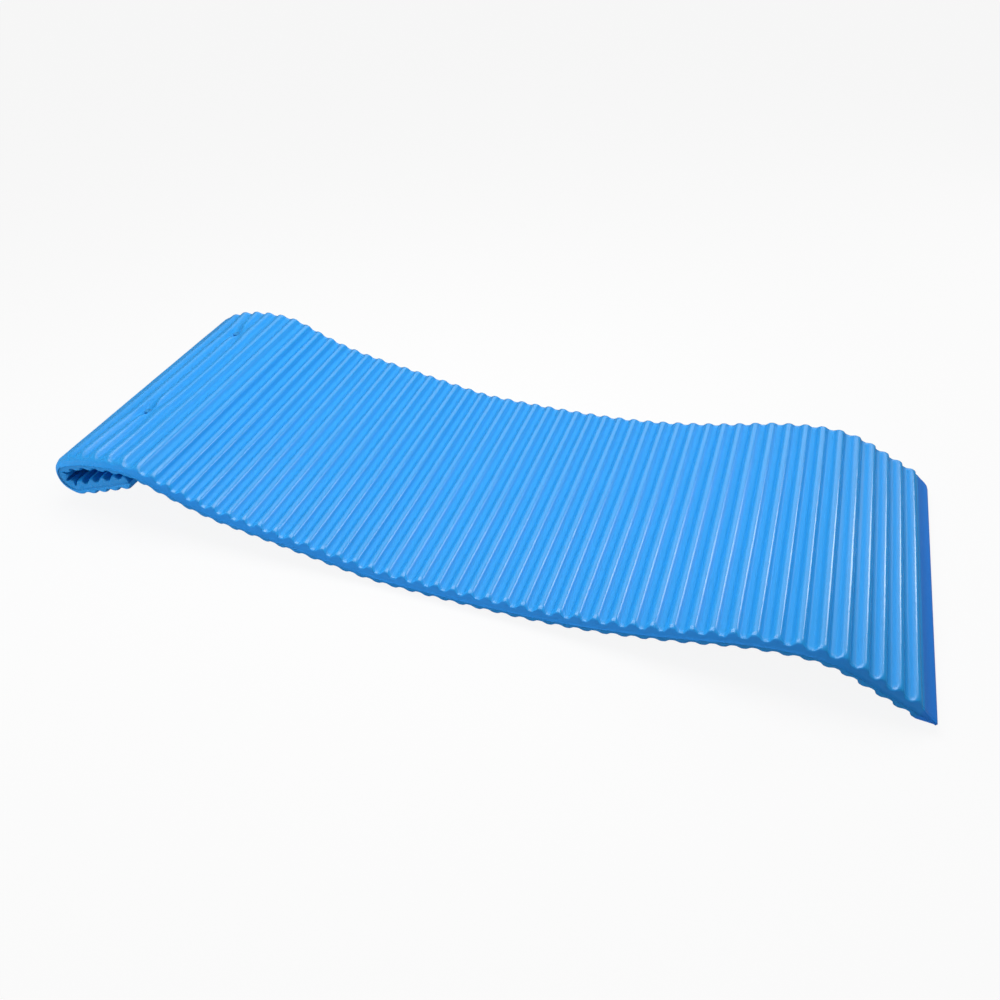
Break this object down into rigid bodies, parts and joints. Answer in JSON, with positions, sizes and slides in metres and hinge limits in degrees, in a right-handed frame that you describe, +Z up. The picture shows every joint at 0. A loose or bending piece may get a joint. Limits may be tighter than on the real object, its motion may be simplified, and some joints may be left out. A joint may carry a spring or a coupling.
{
  "type": "foam pool float",
  "caption": "Ribbed foam lounging mat with a glossy vinyl skin, one end tucked under as a pillow and tied through, and a thin flat lip at the foot.",
  "frame": {"origin": "middle of the bottom of the bounding box, where the belly of the mat rests", "axes": "+X from the pillow end towards the foot, +Y across the mat from the near edge to the far edge, +Z up"},
  "size_m": [1.7677, 0.66, 0.1579],
  "materials": {
    "vinyl_skin": "smooth dipped vinyl, soft gloss, sky blue",
    "foam": "closed-cell foam, matt",
    "tie_plastic": "moulded plastic, soft gloss"
  },
  "bodies": {
    "root": {"foam_core": "foam", "upper_skin": "vinyl_skin", "lower_skin": "vinyl_skin", "tie_button_near": "tie_plastic", "tie_button_far": "tie_plastic", "tie_washer_near": "tie_plastic", "tie_washer_far": "tie_plastic"}
  },
  "joints": []
}
